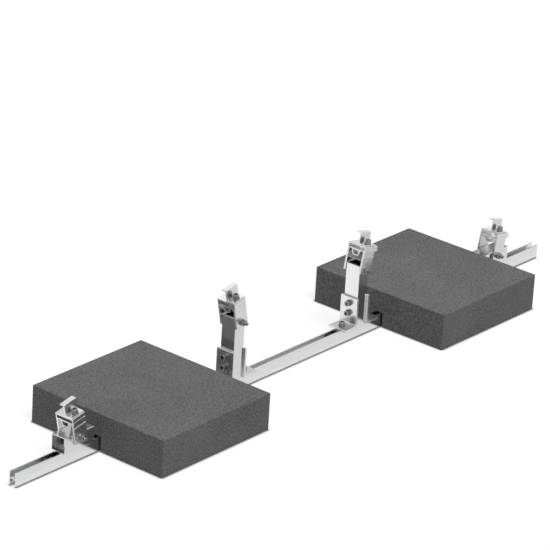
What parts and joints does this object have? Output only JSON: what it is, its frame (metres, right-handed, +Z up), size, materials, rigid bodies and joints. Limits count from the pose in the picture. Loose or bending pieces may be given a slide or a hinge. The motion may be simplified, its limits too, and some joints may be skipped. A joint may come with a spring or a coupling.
{
  "type": "solar ballast mount",
  "caption": "Ballasted dual-tilt solar module support: a base rail through concrete blocks, with tall and low tilting heads and end clamps.",
  "frame": {"origin": "on the ground, under the middle of the base rail", "axes": "+X along the rail, +Z up, -Y towards the side with the end clamps' bolts"},
  "size_m": [1.877, 0.392, 0.2686],
  "materials": {
    "aluminium": "bright, smooth mill finish",
    "steel": "plain stainless",
    "concrete": "matt cast concrete, dark grey"
  },
  "bodies": {
    "root": {"base_rail": "aluminium", "ballast_block_left": "concrete", "ballast_block_right": "concrete", "post_left": "aluminium", "post_right": "aluminium", "low_base_left": "aluminium", "low_base_right": "aluminium", "foot_left_inner": "aluminium", "foot_left_outer": "aluminium", "foot_right_inner": "aluminium", "foot_right_outer": "aluminium", "head_high_left": "aluminium", "head_high_right": "aluminium", "head_low_left": "aluminium", "head_low_right": "aluminium", "clamp_high_left": "aluminium", "clamp_high_right": "aluminium", "clamp_low_left": "aluminium", "clamp_low_right": "aluminium", "pivot_bolt_high_left": "steel", "pivot_bolt_high_right": "steel", "pivot_bolt_low_left": "steel", "pivot_bolt_low_right": "steel", "pivot_nut_high_left": "steel", "pivot_nut_high_right": "steel", "pivot_nut_low_left": "steel", "pivot_nut_low_right": "steel", "clamp_bolt_high_left": "steel", "clamp_bolt_high_right": "steel", "clamp_bolt_low_left": "steel", "clamp_bolt_low_right": "steel", "clamp_nut_high_left": "steel", "clamp_nut_high_right": "steel", "clamp_nut_low_left": "steel", "clamp_nut_low_right": "steel", "post_bolt_left_lower": "steel", "post_bolt_left_upper": "steel", "post_bolt_right_lower": "steel", "post_bolt_right_upper": "steel", "post_nut_left_lower": "steel", "post_nut_left_upper": "steel", "post_nut_right_lower": "steel", "post_nut_right_upper": "steel", "foot_bolt_left_inner": "steel", "foot_bolt_left_outer": "steel", "foot_bolt_right_inner": "steel", "foot_bolt_right_outer": "steel", "base_bolt_left": "steel", "base_bolt_right": "steel", "rail_nut_foot_left_inner": "steel", "rail_nut_foot_left_outer": "steel", "rail_nut_foot_right_inner": "steel", "rail_nut_foot_right_outer": "steel", "rail_nut_base_left": "steel", "rail_nut_base_right": "steel"}
  },
  "joints": []
}
